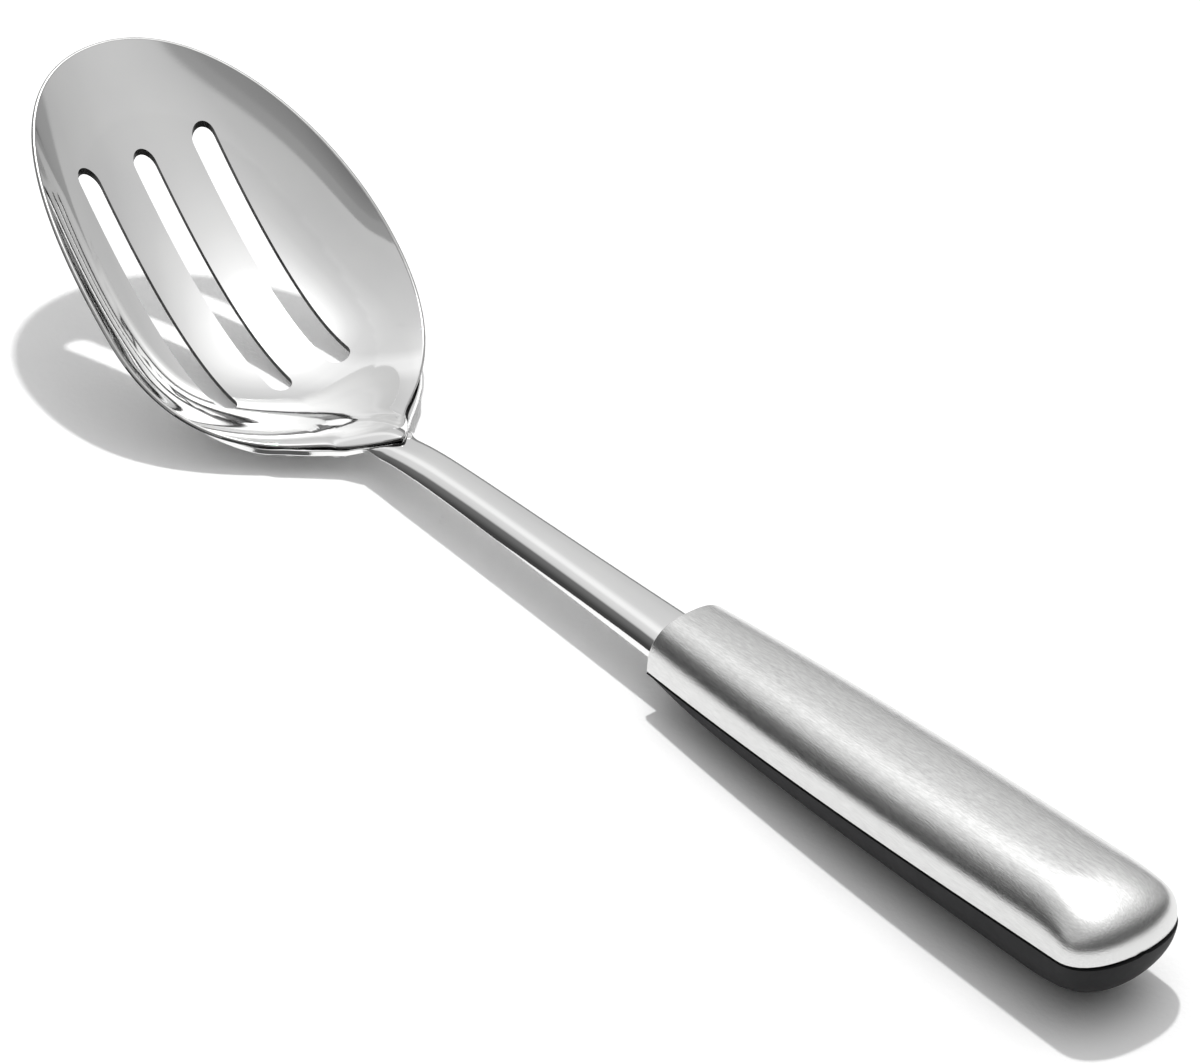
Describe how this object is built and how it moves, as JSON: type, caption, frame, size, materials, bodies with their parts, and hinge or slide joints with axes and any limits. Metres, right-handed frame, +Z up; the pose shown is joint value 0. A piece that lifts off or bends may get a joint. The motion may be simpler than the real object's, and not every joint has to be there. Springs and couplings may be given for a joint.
{
  "type": "slotted serving spoon",
  "caption": "Slotted serving spoon with a polished steel bowl and stem and a handle with a brushed steel half shell over a black soft grip.",
  "frame": {"origin": "on the table under the middle of the spoon, at the bottom centre of its bounding box", "axes": "+X towards the handle's tail, +Y across the spoon to the left seen from the tail, +Z up from the table into the bowl's open side"},
  "size_m": [0.311, 0.0684, 0.0496],
  "materials": {
    "polished_steel": "polished",
    "brushed_steel": "satin",
    "core_plastic": "matte",
    "grip_rubber": "matte"
  },
  "bodies": {
    "root": {"bowl": "polished_steel", "stem": "polished_steel", "weld_spots": "polished_steel", "handle_shell": "brushed_steel", "handle_core": "core_plastic", "soft_grip": "grip_rubber", "tang_pins": "polished_steel"}
  },
  "joints": []
}
